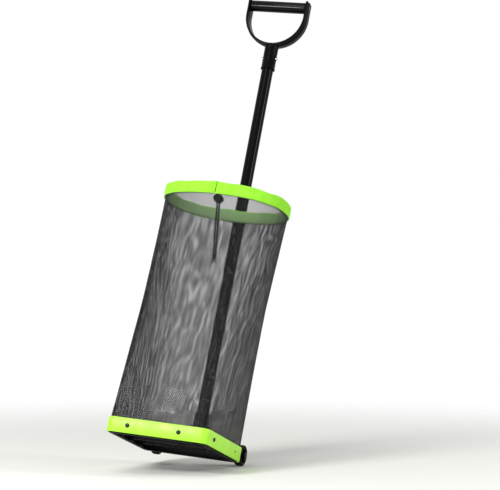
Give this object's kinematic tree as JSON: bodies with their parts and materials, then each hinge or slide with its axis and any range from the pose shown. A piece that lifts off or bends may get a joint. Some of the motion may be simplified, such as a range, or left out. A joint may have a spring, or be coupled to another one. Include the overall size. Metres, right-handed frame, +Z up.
{
  "type": "tennis ball hopper",
  "caption": "Upright ball pick-up hopper: open mesh bag on a low frame with spring bars underneath, rear wheels, and a pole with a D-shaped grip",
  "frame": {"origin": "Middle of the bounding box's bottom, on the ground plane that the frame's underside and the wheels rest on", "axes": "+Z up along the pole, -Y towards the front that the picture shows, +X to the right seen from the front"},
  "size_m": [0.2294, 0.2392, 0.8907],
  "materials": {
    "black_moulding": "moulded black plastic, fine texture",
    "green_band": "bright yellow-green plastic, satin",
    "green_webbing": "bright green woven webbing",
    "black_mesh": "open black polyester mesh cloth",
    "black_cord": "black twisted cord and webbing",
    "black_plastic": "glossy black plastic",
    "black_powder_coat": "black powder-coated tube",
    "black_screw": "black-coated steel",
    "spring_steel": "black-coated spring steel",
    "bright_steel": "bright steel",
    "black_rubber": "black rubber"
  },
  "bodies": {
    "hopper": {"base_frame": "black_moulding", "lower_band": "green_band", "band_screw_front_left": "black_screw", "band_screw_front_right": "black_screw", "band_screw_left": "black_screw", "band_rivet_left": "black_screw", "band_screw_right": "black_screw", "band_rivet_right": "black_screw", "pickup_spring_front": "spring_steel", "pickup_spring_middle": "spring_steel", "pickup_spring_rear": "spring_steel", "mesh_bag": "black_mesh", "top_hem": "green_webbing", "pole_loop": "black_cord", "drawcord_in_hem": "black_cord", "drawcord_tail_left": "black_cord", "drawcord_tail_right": "black_cord", "drawcord_knot": "black_cord", "pole": "black_powder_coat", "rear_bracket": "black_moulding", "pole_bolt": "black_screw", "pole_nut": "black_screw", "bracket_bolt_1": "black_screw", "bracket_nut_1": "black_screw", "bracket_bolt_2": "black_screw", "bracket_nut_2": "black_screw", "bracket_bolt_3": "black_screw", "bracket_nut_3": "black_screw", "bracket_bolt_4": "black_screw", "bracket_nut_4": "black_screw", "axle": "bright_steel", "axle_washer_left": "bright_steel", "axle_cap_left": "black_plastic", "axle_washer_right": "bright_steel", "axle_cap_right": "black_plastic", "d_yoke": "black_plastic", "grip_bar": "black_plastic", "grip_rod": "black_screw", "snap_clip": "spring_steel"},
    "wheel_left": {"wheel_hub_left": "black_plastic", "wheel_tyre_left": "black_rubber"},
    "wheel_right": {"wheel_hub_right": "black_plastic", "wheel_tyre_right": "black_rubber"},
    "button_left": {"snap_button_left": "bright_steel"},
    "button_right": {"snap_button_right": "bright_steel"},
    "cord_lock": {"cord_lock_body": "black_plastic", "cord_lock_spring": "spring_steel"},
    "cord_lock_button": {"cord_lock_plunger": "black_plastic"}
  },
  "joints": [
    {"name": "wheel_left_spin", "type": "hinge", "parent": "hopper", "child": "wheel_left", "pos_m": [-0.0957, 0.1006, 0.019], "axis": [1, 0, 0], "continuous": true},
    {"name": "wheel_right_spin", "type": "hinge", "parent": "hopper", "child": "wheel_right", "pos_m": [0.0677, 0.1006, 0.019], "axis": [1, 0, 0], "continuous": true},
    {"name": "snap_button_left_press", "type": "slide", "parent": "hopper", "child": "button_left", "axis": [1, 0, 0], "range_m": [0, 0.0032], "stiffness_N_per_m": 2500, "deforming": ["snap_clip"]},
    {"name": "snap_button_right_press", "type": "slide", "parent": "hopper", "child": "button_right", "axis": [-1, 0, 0], "range_m": [0, 0.0032], "stiffness_N_per_m": 2500, "deforming": ["snap_clip"]},
    {"name": "cord_lock_slide", "type": "slide", "parent": "hopper", "child": "cord_lock", "axis": [0.075, 0.1151, -0.9905], "range_m": [0, 0.08]},
    {"name": "cord_lock_plunger_press", "type": "slide", "parent": "cord_lock", "child": "cord_lock_button", "axis": [0.0087, -0.9934, -0.1147], "range_m": [0, 0.0026], "stiffness_N_per_m": 1200, "deforming": ["cord_lock_spring"]}
  ]
}
